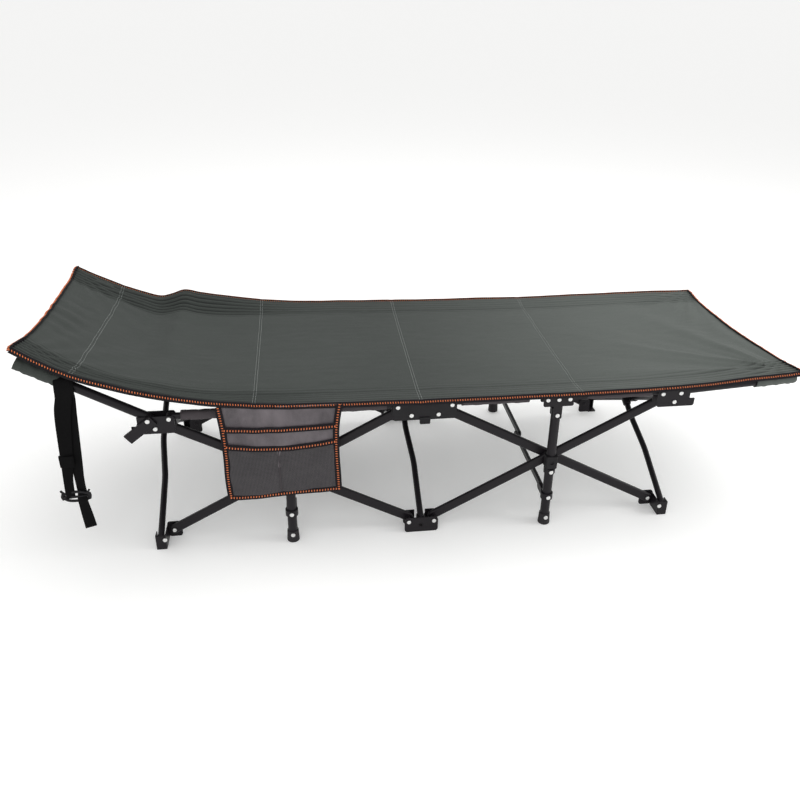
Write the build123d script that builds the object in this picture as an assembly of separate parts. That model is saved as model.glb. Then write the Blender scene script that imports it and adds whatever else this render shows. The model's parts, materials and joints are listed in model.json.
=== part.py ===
import math
import os

from build123d import *

os.makedirs("parts", exist_ok=True)

# All lengths are in millimetres. X runs from the head end (-) to the toe end (+), Y from front to back,
# Z up from the floor. The front half is modelled at negative Y and the back half is its mirror image.

# overall frame
head_end = -922
toe_end = 962
pitch = 600
low_pin_z = 32
high_pin_z = 358
mid_pin_x = 33
end_pin_x = mid_pin_x + pitch
leg_x = mid_pin_x + pitch / 2
station_x = 663
cross_pin_y = 300
rail_y = 305
rail_z = 382
shift_x = -(head_end + toe_end) / 2

# scissor bars: flat-oval tube
bar_length = math.hypot(pitch, high_pin_z - low_pin_z)
bar_angle = math.degrees(math.atan2(high_pin_z - low_pin_z, pitch))
bar_tall = 25
bar_thick = 12.5
bar_corner = 5
wall = 1.3
outer_bar_y = 284
inner_bar_y = 270

# pins and rivets
pin_r = 3
hole_r = 3.05
head_r = 5.2
head_t = 2
spacer_r = 6
play = 0.3

# cross tubes
tube_r = 8
tube_wall = 1.2
tube_bow = 11
bow_half = 60
straight_from = 170
bend_r = 300
clamp_r = 11.5
clamp_long = 44
clamp_boss_r = 12
clamp_gap = 0.5
stub_r = 5

# sheet metal
sheet = 2.5
channel_y = 311
cheek_y = 320.5
cheek_high = 390
middle_y = 293.5
guard_half = 40
guard_wide = 13
guard_tilt = 38

# centre legs
leg_r = 12
leg_top = 350
leg_low = 8
slider_half = 15
slider_tall = 36
leg_fit = 0.08
plate_t = 1.6
t_pin_x = 28
t_plate_half = 38.5
t_plate_low = 361
t_plate_high = 391
t_stem_low = 326
collar_z = 88
ring_z = 167
foot_top = 32

# rails
rail_r = 8
end_rail_r = 11
root_r = 10
half_rail_x = 33
end_rail_x = 14
end_rail_long = 300
head_angles = {"front": 30, "back": 26}
toe_angles = {"front": 4, "back": 0}
tongue_t = 7.5
tongue_half = 7
tongue_long = 50
tongue_shift = 5.25

# folding struts between the legs
strut_y = 270
strut_z = 92
strut_tall = 18
strut_thick = 9
strut_shift = 5

# soft goods
cover_half = 322
cover_t = 3
cover_line = [
    (head_end, 557), (-860, 521.5), (-810, 493), (-740, 465), (-680, 448), (-580, 425), (-480, 408),
    (-300, 398), (-100, 395), (400, 395), (640, 397.5), (830, 409), (toe_end, 417),
]
organiser_x = (-486, -204)
organiser_z = (158, 391)
organiser_y = (-331, -325.5)
strap_w = 20
strap_t = 2.4


def rod_y(x, z, y0, y1, r):
    """A cylinder along Y between two planes."""
    plane = Plane((x, y0, z), x_dir=(1, 0, 0), z_dir=(0, 1, 0))
    return extrude(plane * Circle(r), y1 - y0)


def rod_x(y, z, x0, x1, r):
    plane = Plane((x0, y, z), x_dir=(0, 1, 0), z_dir=(1, 0, 0))
    return extrude(plane * Circle(r), x1 - x0)


def block(x0, x1, y0, y1, z0, z1):
    size = (x1 - x0, y1 - y0, z1 - z0)
    return Pos((x0 + x1) / 2, (y0 + y1) / 2, (z0 + z1) / 2) * Box(*size)


def head_y(x, z, y, outward):
    """A domed rivet head whose flat side lies at y, standing out along Y."""
    disc = rod_y(x, z, min(y, y + outward * head_t), max(y, y + outward * head_t), head_r)
    rim = disc.edges().filter_by(lambda e: abs(e.center().Y - (y + outward * head_t)) < 0.01)
    return fillet(rim, head_t * 0.8)


def rivet_y(x, z, y0, y1):
    """A pin along Y with a head outside each plane."""
    return head_y(x, z, y0, -1) + rod_y(x, z, y0, y1, pin_r) + head_y(x, z, y1, 1)


def blind_rivet(x, z, y, outward, depth=1.5):
    inner = y - outward * depth
    return head_y(x, z, y, outward) + rod_y(x, z, min(y, inner), max(y, inner), pin_r)


def ring_y(x, z, y0, y1, r):
    return rod_y(x, z, y0, y1, r) - rod_y(x, z, y0 - 1, y1 + 1, hole_r)


def holes_y(shape, places, y0, y1):
    for x, z in places:
        shape -= rod_y(x, z, y0, y1, hole_r)
    return shape


def side_plate(outline, y0, y1, corner):
    """A plate cut from sheet in the XZ plane, with rounded corners."""
    low_x, high_x, low_z, high_z = outline
    plate = block(low_x, high_x, y0, y1, low_z, high_z)
    return fillet(plate.edges().filter_by(Axis.Y), corner)


def keep(name, pieces):
    """Write one node from its separate solids, in the part's own frame."""
    moved = [Pos(shift_x, 0, 0) * piece for piece in pieces]
    node = Compound(children=moved) if len(moved) > 1 else moved[0]
    export_step(node, "parts/" + name + ".step")


def both_sides(name, pieces):
    keep("front_" + name, pieces)
    keep("back_" + name, [mirror(piece, about=Plane.XZ) for piece in pieces])


def as_head(pieces):
    return [mirror(piece, about=Plane.YZ) for piece in pieces]


def oval_bar(length, tall, thick, corner, skin):
    """A flat-oval tube along X, centred, with closed round ends and pin holes in Y."""
    outer = extrude(Plane.XZ * SlotCenterToCenter(length, tall), thick / 2, both=True)
    outer = fillet(outer.edges().filter_by(lambda e: abs(e.center().Y) > thick / 2 - 0.01), corner)
    inside = thick / 2 - skin
    inner = extrude(Plane.XZ * SlotCenterToCenter(length, tall - 2 * skin), inside, both=True)
    inner = fillet(inner.edges().filter_by(lambda e: abs(e.center().Y) > inside - 0.01), corner - skin)
    return outer - inner


bar = holes_y(oval_bar(bar_length, bar_tall, bar_thick, bar_corner, wall),
              [(-bar_length / 2, 0), (0, 0), (bar_length / 2, 0)], -bar_thick, bar_thick)
cross_z = (low_pin_z + high_pin_z) / 2


def side_bars():
    """Outer bar (mid foot to end hub) and inner bar (mid hub to end foot) of the front toe cell."""
    outer = Pos(leg_x, -outer_bar_y, cross_z) * Rot(0, -bar_angle, 0) * bar
    inner = Pos(leg_x, -inner_bar_y, cross_z) * Rot(0, bar_angle, 0) * bar
    back_face = -inner_bar_y + bar_thick / 2
    gap = outer_bar_y - inner_bar_y - bar_thick
    washer_y = -(outer_bar_y + inner_bar_y) / 2
    pin = rod_y(leg_x, cross_z, -292.8, back_face + play, pin_r)
    pin += head_y(leg_x, cross_z, back_face + play, 1)
    washer = ring_y(leg_x, cross_z, washer_y - gap / 2 + 0.1, washer_y + gap / 2 - 0.1, 9)
    return [outer, pin, washer], [inner]


def mid_foot():
    """Long upturned channel with two bar pins and a fork for the middle cross tube."""
    half = mid_pin_x + 11
    front = side_plate((-half, half, 0, 44), -channel_y, -channel_y + sheet, 9)
    back = side_plate((-half, half, 0, 44), -275.5, -275.5 + sheet, 9)
    floor = block(-half + 4, half - 4, -channel_y, -275.5 + sheet, 0, sheet)
    notch = block(-14, 14, -276, -272, sheet, 50)
    window = block(-6, 3, -channel_y - 1, -channel_y + 3, 16, 25)
    body = front - window + back - notch + floor
    for side in (-1, 1):
        x0, x1 = sorted((side * 8.6, side * 11.1))
        body += block(x0, x1, -channel_y + 0.5, -289, 0, 42)
    bars = [(-mid_pin_x, low_pin_z), (mid_pin_x, low_pin_z)]
    body = holes_y(body, bars, -320, -265)
    body -= rod_x(-cross_pin_y, low_pin_z, -12, 12, hole_r)
    pieces = [body, rod_x(-cross_pin_y, low_pin_z, -11.1, 11.1, pin_r)]
    for x, z in bars:
        pieces.append(rivet_y(x, z, -channel_y - 0.1, -275.5 + sheet + 0.1))
        pieces.append(ring_y(x, z, -channel_y + sheet + 0.1, -outer_bar_y - bar_thick / 2 - play, spacer_r))
    return pieces


def end_foot():
    """Ear behind the bar's end, turning into a short channel that holds the cross tube."""
    x0, x1 = station_x - 13, station_x + 13
    ear = side_plate((end_pin_x - 17, x0 + sheet, sheet, 48), -262.5, -260, 8)
    web_a = block(x0, x0 + sheet, -channel_y, -260, 0, 40)
    web_b = block(x1 - sheet, x1, -channel_y, -288, 0, 40)
    front = block(x0, x1, -channel_y, -channel_y + sheet, 0, 40)
    floor = block(x0, x1, -channel_y, -262, 0, sheet)
    body = ear + web_a + web_b + front + floor
    edges = body.edges().filter_by(Axis.Z).filter_by(lambda e: abs(e.center().Y + channel_y) < 0.01)
    body = fillet(edges, 2.2)
    body = holes_y(body, [(end_pin_x, low_pin_z)], -270, -255)
    body -= rod_x(-cross_pin_y, low_pin_z, x0 - 1, x1 + 1, hole_r)
    bar_face = -inner_bar_y - bar_thick / 2
    cross_pin = rod_x(-cross_pin_y, low_pin_z, x0, x1, pin_r)
    bar_pin = rivet_y(end_pin_x, low_pin_z, bar_face - play, -259.9)
    small = blind_rivet(x0 - 1.6 + 4, low_pin_z - 3, -channel_y - 0.05, -1, 1.5)
    return [body, cross_pin, bar_pin, small]


def hub_socket(x0, x1, low, high):
    """Fork for the top end of a cross tube: two webs and a front sheet."""
    web_a = block(x0, x0 + sheet, -cheek_y, -289, low, high)
    web_b = block(x1 - sheet, x1, -cheek_y, -289, low, high)
    front = block(x0, x1, -cheek_y, -cheek_y + sheet, low, high)
    body = web_a + web_b + front
    return body - rod_x(-cross_pin_y, high_pin_z, x0 - 1, x1 + 1, hole_r)


def end_hub(tilted):
    """Top joint of the end: cheeks for the bar, the two rails and the cross tube's fork."""
    x0, x1 = station_x - 13, station_x + 13
    half_x, end_x = end_pin_x - half_rail_x, end_pin_x + end_rail_x
    front = side_plate((half_x - 12, x1 + 10, 345, cheek_high), -cheek_y, -cheek_y + sheet, 6)
    step = block(x1 - 4, x1 + 11, -cheek_y - 1, -cheek_y + 3, 366, cheek_high + 2)
    middle = side_plate((half_x - 12, x0 - 0.2, 345, cheek_high), -middle_y, -middle_y + sheet, 6)
    inner = side_plate((end_pin_x - 15, end_pin_x + 17, 343, 374), -276.2, -273.7, 5)
    bridge = block(end_pin_x - 15, end_pin_x + 17, -middle_y, -273.7, 371.8, 374)
    floor = block(end_pin_x - 20, x0, -cheek_y, -middle_y + sheet, 345, 347.5)
    fork = hub_socket(x0, x1, 345, 365)
    body = front - step + middle + inner + bridge + floor + fork
    places = [(end_pin_x, high_pin_z), (half_x, rail_z), (end_x, rail_z)]
    body = holes_y(body, places, -330, -265)
    pieces = [body, rod_x(-cross_pin_y, high_pin_z, x0, x1, pin_r)]
    pieces.append(rivet_y(end_pin_x, high_pin_z, -cheek_y - 0.1, -273.6))
    pieces.append(ring_y(end_pin_x, high_pin_z, -cheek_y + sheet + 0.1, -middle_y - 0.1, spacer_r))
    for x in (half_x, end_x):
        pieces.append(rivet_y(x, rail_z, -cheek_y - 0.1, -middle_y + sheet + 0.1))
    if tilted:
        pieces += guard_plate()
    return pieces


def guard_plate():
    """Tilted channel over the head hub's fork, riveted over the end rail's pivot."""
    outer_y, inner_y = -cheek_y - 6, -cheek_y - 0.2
    out = block(-guard_half, guard_half, outer_y, outer_y + 2, -guard_wide, guard_wide)
    top = block(-guard_half, guard_half, outer_y, inner_y, guard_wide - 2, guard_wide)
    low = block(-guard_half, guard_half, outer_y, inner_y, -guard_wide, 2 - guard_wide)
    plate = out + top + low
    plate = fillet(plate.edges().filter_by(Axis.X).filter_by(lambda e: e.center().Y < outer_y + 0.1), 1.5)
    plate = fillet(plate.edges().filter_by(Axis.Y), 0.8)
    tilt = math.radians(guard_tilt)
    dx, dz = end_pin_x + end_rail_x - station_x - 3, rail_z - high_pin_z - 1
    rivet_x = dx * math.cos(tilt) - dz * math.sin(tilt)
    rivet_z = dx * math.sin(tilt) + dz * math.cos(tilt)
    plate -= rod_y(rivet_x, rivet_z, outer_y - 1, inner_y + 1, hole_r)
    place = Pos(station_x + 3, 0, high_pin_z + 1) * Rot(0, guard_tilt, 0)
    return [place * plate, place * blind_rivet(rivet_x, rivet_z, outer_y - 0.05, -1, 2)]


def mid_hub():
    """Plastic block between the two inner bars, with cheeks for the half rails."""
    half_x = mid_pin_x * 2
    front = side_plate((-half_x - 12, half_x + 12, 345, cheek_high), -cheek_y, -cheek_y + sheet, 6)
    middle = side_plate((-half_x - 12, half_x + 12, 345, cheek_high), -middle_y, -middle_y + sheet, 6)
    slot = block(-11.2, 11.2, -middle_y - 1, -middle_y + 4, 340, 368)
    floor = block(-44, 44, -cheek_y, -middle_y + sheet, 345, 347.5)
    floor -= block(-11.2, 11.2, -cross_pin_y - 9.5, -280, 340, 350)
    back = side_plate((-mid_pin_x - 15, mid_pin_x + 15, 343, 374), -262.5, -260, 5)
    core = block(-mid_pin_x - 15, mid_pin_x + 15, -middle_y + sheet, -277.4, 343, 374)
    core -= block(-11.2, 11.2, -300, -270, 340, 369)
    bridge = block(-mid_pin_x - 15, mid_pin_x + 15, -278, -260, 371.8, 374)
    for side in (-1, 1):
        x0, x1 = sorted((side * 8.6, side * 11.1))
        front += block(x0, x1, -cheek_y, -289, 345, 366)
    low_lip = side_plate((-13, 13, 334, 352), -cheek_y - 3, -cheek_y, 3)
    for x in (-8, -4, 0, 4, 8):
        low_lip -= block(x - 0.8, x + 0.8, -cheek_y - 4, -cheek_y - 2, 337, 348)
    back -= block(-11.2, 11.2, -263, -259, 340, 369)
    body = front + floor + (middle - slot) + back + core + bridge + low_lip
    bars = [(-mid_pin_x, high_pin_z), (mid_pin_x, high_pin_z)]
    rails = [(-half_x, rail_z), (half_x, rail_z)]
    body = holes_y(body, bars, -330, -255)
    body = holes_y(body, rails, -330, -285)
    body -= rod_x(-cross_pin_y, high_pin_z, -12, 12, hole_r)
    pieces = [body, rod_x(-cross_pin_y, high_pin_z, -11.1, 11.1, pin_r)]
    for x, z in bars:
        pieces.append(rivet_y(x, z, -cheek_y - 0.1, -259.9))
    for x, z in rails:
        pieces.append(rivet_y(x, z, -cheek_y - 0.1, -middle_y + sheet + 0.1))
    return pieces


def cross_tube(bow):
    """Bowed round tube along X with an eye at each end and a clamp at the middle."""
    half = bar_length / 2
    points = [(-half, 0, 0), (-straight_from, 0, 0), (-bow_half, bow, 0),
              (bow_half, bow, 0), (straight_from, 0, 0), (half, 0, 0)]
    path = FilletPolyline(*points, radius=bend_r)
    start = Plane(path @ 0, x_dir=(0, 1, 0), z_dir=path % 0)
    tube = sweep(start * Circle(tube_r), path=path) - sweep(start * Circle(tube_r - tube_wall), path=path)
    bore = sweep(start * Circle(tube_r + 0.05), path=path)
    clamp = Rot(0, 90, 0) * Cylinder(clamp_r, clamp_long)
    clamp = fillet(clamp.edges().filter_by(GeomType.CIRCLE), 1.5)
    side = 1 if bow > 0 else -1
    reach = abs(bow) - clamp_gap
    boss = Pos(0, -side * reach / 2, 0) * Rot(90, 0, 0) * Cylinder(clamp_boss_r, reach)
    clamp = Pos(0, bow, 0) * (clamp + boss) - bore
    clamp -= Pos(0, side * (clamp_gap - 20), 0) * Box(100, 40, 60)
    if bow > 0:
        clamp += Pos(0, -0.3, 0) * Rot(90, 0, 0) * Cylinder(stub_r, 4.6)
    else:
        clamp -= Pos(0, -1.5, 0) * Rot(90, 0, 0) * Cylinder(stub_r + 0.05, 3.2)
    for end in (-half, half):
        eye = Pos(end, 0, 0) * Rot(90, 0, 0) * Cylinder(tube_r, 14)
        tube += eye
        tube -= Pos(end, 0, 0) * Rot(90, 0, 0) * Cylinder(hole_r, 30)
    return [tube, clamp]


def cross_pair(name, x):
    """Tube a rises from the front foot to the back hub, tube b from the back foot to the front hub."""
    for letter, bow, climb in (("a", tube_bow, bar_angle), ("b", -tube_bow, -bar_angle)):
        place = Pos(x, 0, cross_z) * Rot(climb, 0, 0) * Rot(0, 0, 90)
        keep(name + "_cross_" + letter, [place * piece for piece in cross_tube(bow)])


def slider():
    """Plastic collar on the bars' crossing pin, in which the leg slides."""
    y0, y1 = -rail_y - slider_half, -outer_bar_y - bar_thick / 2 - 0.15
    low, high = cross_z - slider_tall / 2, cross_z + slider_tall / 2
    body = block(leg_x - slider_half, leg_x + slider_half, y0, y1, low, high)
    body = fillet(body.edges().filter_by(Axis.Z), 4)
    body = fillet(body.edges().filter_by(lambda e: e.center().Y < y0 + 0.01), 1.2)
    body -= Pos(leg_x, -rail_y, cross_z) * Cylinder(leg_r + leg_fit, 60)
    body -= rod_y(leg_x, cross_z, -295, y1 + 1, hole_r)
    body -= rod_y(leg_x, cross_z, y0 - 1, y0 + 2.2, 5)
    return [body]


def tube_z(x, y, z0, z1, r, inner):
    tube = Cylinder(r, z1 - z0) - Cylinder(inner, z1 - z0 + 2)
    return Pos(x, y, (z0 + z1) / 2) * tube


def t_plate(y0, y1):
    """Sheet tee: a bar across the top and a stem down the leg."""
    bar_part = side_plate((leg_x - t_plate_half, leg_x + t_plate_half, t_plate_low, t_plate_high), y0, y1, 5)
    stem = side_plate((leg_x - 11, leg_x + 11, t_stem_low, t_plate_low + 8), y0, y1, 3)
    return holes_y(bar_part + stem, [(leg_x, 335)], y0 - 5, y1 + 5)


def leg():
    """Tube with the T-bracket, stop ring and the lower collar that carries the strut's fork."""
    tube = tube_z(leg_x, -rail_y, leg_low, leg_top, leg_r, leg_r - tube_wall)
    tube = holes_y(tube, [(leg_x, 335), (leg_x, ring_z)], -330, -280)
    gap = 0.2
    out0, out1 = -rail_y - leg_r - gap - plate_t, -rail_y - leg_r - gap
    in0, in1 = -rail_y + leg_r + gap, -rail_y + leg_r + gap + plate_t
    ring = tube_z(leg_x, -rail_y, ring_z - 7, ring_z + 7, 15, leg_r + 0.1)
    ring = holes_y(ring, [(leg_x, ring_z)], -325, -285)
    collar = tube_z(leg_x, -rail_y, collar_z - 9, collar_z + 9, 16, leg_r + 0.1)
    collar = chamfer(collar.edges().filter_by(GeomType.CIRCLE).group_by(Axis.Z)[-1], 1)
    for x0, x1 in ((-13, -10.6), (10.6, 13)):
        ear = block(leg_x + x0, leg_x + x1, -rail_y + 8, -strut_y, strut_z - 10, strut_z + 10)
        ear += rod_x(-strut_y, strut_z, leg_x + x0, leg_x + x1, 10)
        collar += ear
    collar -= Pos(leg_x, -rail_y, collar_z) * Cylinder(leg_r + 0.1, 60)
    collar -= rod_x(-strut_y, strut_z, leg_x - 20, leg_x + 20, hole_r)
    pieces = [tube, ring, collar, t_plate(out0, out1), t_plate(in0, in1)]
    pieces.append(rod_y(leg_x, 335, out0, in1, pin_r))
    pieces.append(head_y(leg_x, 335, out0 - 0.05, -1))
    for x in (leg_x - t_pin_x, leg_x, leg_x + t_pin_x):
        pieces.append(head_y(x, rail_z - 2, out0 - 0.05, -1))
    pieces.append(rod_x(-strut_y, strut_z, leg_x - 13, leg_x + 13, pin_r))
    pieces.append(rod_y(leg_x, ring_z, -rail_y - 15.5, -rail_y + 14, pin_r))
    return pieces


def foot_cap():
    """Flared rubber end with a blind bore for the leg."""
    cone = Pos(leg_x, -rail_y, foot_top / 2) * Cone(16, 14.2, foot_top)
    cone = fillet(cone.edges().filter_by(GeomType.CIRCLE), 1.2)
    return [cone - Pos(leg_x, -rail_y, leg_low - 0.1 + 20) * Cylinder(leg_r + 0.05, 40)]


def half_rail(from_x, to_x, tongue_y):
    """Tube from its hub pivot to a flat tongue at the leg's T-bracket."""
    way = 1 if to_x > from_x else -1
    shoulder = to_x - way * tongue_long
    low, high = sorted((from_x, shoulder))
    tube = rod_x(-rail_y, rail_z, low, high, rail_r)
    tube -= rod_x(-rail_y, rail_z, low + 4, high - 4, rail_r - tube_wall)
    tube += rod_y(from_x, rail_z, -rail_y - rail_r, -rail_y + rail_r, rail_r)
    y0, y1 = tongue_y - tongue_t / 2, tongue_y + tongue_t / 2
    a, b = sorted((shoulder - way * 2, to_x))
    tongue = block(a, b, y0, y1, rail_z - tongue_half, rail_z + tongue_half)
    tongue += rod_y(to_x, rail_z, y0, y1, tongue_half)
    tube += tongue
    return [holes_y(tube, [(from_x, rail_z)], -330, -280)]


def end_rail(pivot_x, angle):
    """Straight tube from the hub to the bed's corner, modelled along +X and turned up by its angle."""
    tube = rod_x(-rail_y, 0, 0, end_rail_long, end_rail_r)
    tube -= rod_x(-rail_y, 0, 6, end_rail_long - 4, end_rail_r - tube_wall)
    tube = fillet(tube.edges().group_by(Axis.X)[-1], 3)
    root = rod_y(0, 0, -rail_y - end_rail_r, -rail_y + end_rail_r, root_r)
    tube = holes_y(tube + root, [(0, 0)], -330, -280)
    return [Pos(pivot_x, 0, rail_z) * Rot(0, -angle, 0) * tube]


def half_strut(shift):
    """One half of a folding strut, from the leg's collar to the strut's middle hinge."""
    bar_part = oval_bar(strut_y, strut_tall, strut_thick, 3, wall)
    bar_part = holes_y(bar_part, [(-strut_y / 2, 0), (strut_y / 2, 0)], -20, 20)
    place = Pos(leg_x + shift, -strut_y / 2, strut_z) * Rot(0, 0, 90)
    return [place * bar_part]


def bed_cover():
    top = Spline(*[(x, 0, z + cover_t / 2) for x, z in cover_line])
    low = Spline(*[(x, 0, z - cover_t / 2) for x, z in cover_line])
    ends = [Line(top @ 0, low @ 0), Line(top @ 1, low @ 1)]
    profile = make_face(Wire([top, ends[1], low, ends[0]]))
    return [extrude(profile, cover_half, both=True)]


def organiser():
    panel = block(*organiser_x, *organiser_y, *organiser_z)
    return [fillet(panel.edges().filter_by(Axis.Y), 6)]


def carry_strap():
    """Two strands of webbing that hang under the head rail, and the tail below the buckle."""
    y0, y1 = -rail_y - strap_t / 2, -rail_y + strap_t / 2
    slope = math.tan(math.radians(head_angles["front"]))
    strands = []
    for x in (-858, -824):
        under_rail = rail_z + (-end_pin_x - end_rail_x - x - strap_w / 2) * slope - 14
        strands.append(block(x - strap_w / 2, x + strap_w / 2, y0, y1, 196, under_rail))
    tail = block(-836, -816, y0, y1, 88, 168)
    return strands + [tail]


def strap_buckle():
    body = block(-869, -809, -rail_y - 6, -rail_y + 6, 169, 195)
    return [fillet(body.edges().filter_by(Axis.Y), 5)]


outer_set, inner_set = side_bars()
both_sides("toe_bar_b", outer_set)
both_sides("toe_bar_a", inner_set)
both_sides("head_bar_b", as_head(outer_set))
both_sides("head_bar_a", as_head(inner_set))
both_sides("mid_foot", mid_foot())
both_sides("toe_foot", end_foot())
both_sides("head_foot", as_head(end_foot()))
both_sides("mid_hub", mid_hub())
both_sides("toe_hub", end_hub(False))
both_sides("head_hub", as_head(end_hub(True)))
for station, x in (("head", -station_x), ("mid", 0), ("toe", station_x)):
    cross_pair(station, x)
inner_rail = half_rail(2 * mid_pin_x, leg_x - t_pin_x, -rail_y + tongue_shift)
outer_rail = half_rail(end_pin_x - half_rail_x, leg_x + t_pin_x, -rail_y - tongue_shift)
for cell, turned in (("toe", False), ("head", True)):
    for name, pieces in (("slider", slider()), ("leg", leg()), ("leg_cap", foot_cap()),
                         ("inner_rail", inner_rail), ("outer_rail", outer_rail)):
        both_sides(cell + "_" + name, as_head(pieces) if turned else pieces)
keep("front_toe_end_rail", end_rail(end_pin_x + end_rail_x, toe_angles["front"]))
keep("front_head_end_rail", as_head(end_rail(end_pin_x + end_rail_x, head_angles["front"])))
back_toe_rail = end_rail(end_pin_x + end_rail_x, toe_angles["back"])
back_head_rail = as_head(end_rail(end_pin_x + end_rail_x, head_angles["back"]))
keep("back_toe_end_rail", [mirror(piece, about=Plane.XZ) for piece in back_toe_rail])
keep("back_head_end_rail", [mirror(piece, about=Plane.XZ) for piece in back_head_rail])
front_struts = half_strut(-strut_shift)
back_struts = [mirror(piece, about=Plane.XZ) for piece in half_strut(strut_shift)]
for cell, move in (("toe", 0), ("head", -2 * leg_x)):
    keep("front_" + cell + "_strut", [Pos(move, 0, 0) * piece for piece in front_struts])
    keep("back_" + cell + "_strut", [Pos(move, 0, 0) * piece for piece in back_struts])
keep("bed_cover", bed_cover())
keep("organiser", organiser())
keep("carry_strap", carry_strap())
keep("strap_buckle", strap_buckle())
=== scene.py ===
import json
import math

import bmesh
import bpy
import numpy as np
from mathutils import Matrix, Vector, noise

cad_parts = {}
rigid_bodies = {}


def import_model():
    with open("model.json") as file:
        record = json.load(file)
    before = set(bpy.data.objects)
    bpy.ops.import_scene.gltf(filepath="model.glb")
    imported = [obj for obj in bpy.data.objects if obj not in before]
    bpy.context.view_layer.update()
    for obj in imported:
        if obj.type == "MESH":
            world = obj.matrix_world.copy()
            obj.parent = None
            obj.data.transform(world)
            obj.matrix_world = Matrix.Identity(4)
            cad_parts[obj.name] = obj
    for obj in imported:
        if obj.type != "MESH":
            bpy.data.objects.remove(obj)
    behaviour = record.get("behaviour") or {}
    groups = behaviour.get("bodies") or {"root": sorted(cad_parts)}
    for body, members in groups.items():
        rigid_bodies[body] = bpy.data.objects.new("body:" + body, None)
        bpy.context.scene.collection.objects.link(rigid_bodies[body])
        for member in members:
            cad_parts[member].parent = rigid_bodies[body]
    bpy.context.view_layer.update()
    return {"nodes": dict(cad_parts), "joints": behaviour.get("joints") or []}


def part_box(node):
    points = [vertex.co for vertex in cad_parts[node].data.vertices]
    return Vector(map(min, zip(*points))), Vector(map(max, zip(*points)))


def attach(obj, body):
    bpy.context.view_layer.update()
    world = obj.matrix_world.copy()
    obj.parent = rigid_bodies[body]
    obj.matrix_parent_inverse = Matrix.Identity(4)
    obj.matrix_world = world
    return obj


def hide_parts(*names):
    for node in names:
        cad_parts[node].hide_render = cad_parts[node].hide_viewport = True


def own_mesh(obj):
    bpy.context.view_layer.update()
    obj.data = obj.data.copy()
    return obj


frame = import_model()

print("frame loaded:", len(frame["nodes"]), "nodes")

# places that every piece works from, read off the frame; lengths are in metres
midX = sum(corner.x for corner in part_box("front_mid_hub")) / 2
joints = {j["name"]: j for j in frame["joints"]}
railPivotX = {n: joints[n + "_turn"]["pos_m"][0] for n in
              ("front_head_end_rail", "front_head_outer_rail", "front_head_inner_rail",
               "front_toe_inner_rail", "front_toe_outer_rail", "front_toe_end_rail")}
railY = -joints["front_toe_end_rail_turn"]["pos_m"][1]
railZ = joints["front_toe_end_rail_turn"]["pos_m"][2]
headEnd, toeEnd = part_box("bed_cover")[0].x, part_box("bed_cover")[1].x


def camera():
    settings = {"place": (-0.2923, -1.9739, 1.3155), "yaw": 7.853, "down": 27.505, "roll": 0.925,
                "lens": 35.91, "shift": (-0.0093, -0.0209)}
    yaw, down, roll = (math.radians(settings[k]) for k in ("yaw", "down", "roll"))
    ahead = Vector((math.sin(yaw) * math.cos(down), math.cos(yaw) * math.cos(down), -math.sin(down)))
    right = Vector((math.cos(yaw), -math.sin(yaw), 0))
    up = right.cross(ahead)
    turnedRight = right * math.cos(roll) + up * math.sin(roll)
    turnedUp = up * math.cos(roll) - right * math.sin(roll)
    data = bpy.data.cameras.new("studioCamera")
    data.lens = settings["lens"]
    data.shift_x, data.shift_y = settings["shift"]
    seen = bpy.data.objects.new("studioCamera", data)
    seen.matrix_world = Matrix.Translation(settings["place"]) @ Matrix(
        (turnedRight, turnedUp, -ahead)).transposed().to_4x4()
    bpy.context.scene.collection.objects.link(seen)
    bpy.context.scene.camera = seen


def studio():
    settings = {"floorSize": 160.0, "floorColour": (0.93, 0.93, 0.92), "worldStrength": 0.8,
                "lamps": {"overhead": ((0.6, 0.9, 3.2), 3.4, 40), "front": ((-1.0, -3.2, 2.3), 2.0, 18),
                          "toeSide": ((3.2, -0.8, 1.7), 1.4, 34), "headSide": ((-3.0, 1.2, 1.6), 1.2, 5)}}
    bpy.ops.mesh.primitive_plane_add(size=settings["floorSize"], location=(0, 0, -0.0005))
    floor = bpy.context.object
    floor.name = "studioFloor"
    floor.data.materials.append(plainFloor(settings["floorColour"]))
    world = bpy.data.worlds.new("studioWorld")
    world.use_nodes = True
    world.node_tree.nodes["Background"].inputs[0].default_value = (1, 1, 1, 1)
    world.node_tree.nodes["Background"].inputs[1].default_value = settings["worldStrength"]
    bpy.context.scene.world = world
    bpy.context.scene.view_settings.view_transform = "Standard"
    for name, (place, size, power) in settings["lamps"].items():
        data = bpy.data.lights.new(name, "AREA")
        data.size, data.energy = size, power
        lamp = bpy.data.objects.new(name, data)
        lamp.location = place
        lamp.rotation_euler = (Vector((0, 0, 0.3)) - Vector(place)).to_track_quat("-Z", "Y").to_euler()
        bpy.context.scene.collection.objects.link(lamp)


# a shader socket that takes part in sums
class Wire:
    def __init__(self, paint, socket):
        self.paint, self.socket = paint, socket

    def calc(self, operation, other, flipped=False):
        pair = (other, self) if flipped else (self, other)
        return self.paint.node("ShaderNodeMath", {"operation": operation}, {0: pair[0], 1: pair[1]})

    def __add__(self, other): return self.calc("ADD", other)
    def __radd__(self, other): return self.calc("ADD", other, True)
    def __sub__(self, other): return self.calc("SUBTRACT", other)
    def __rsub__(self, other): return self.calc("SUBTRACT", other, True)
    def __mul__(self, other): return self.calc("MULTIPLY", other)
    def __rmul__(self, other): return self.calc("MULTIPLY", other, True)
    def __gt__(self, other): return self.calc("GREATER_THAN", other)


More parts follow.
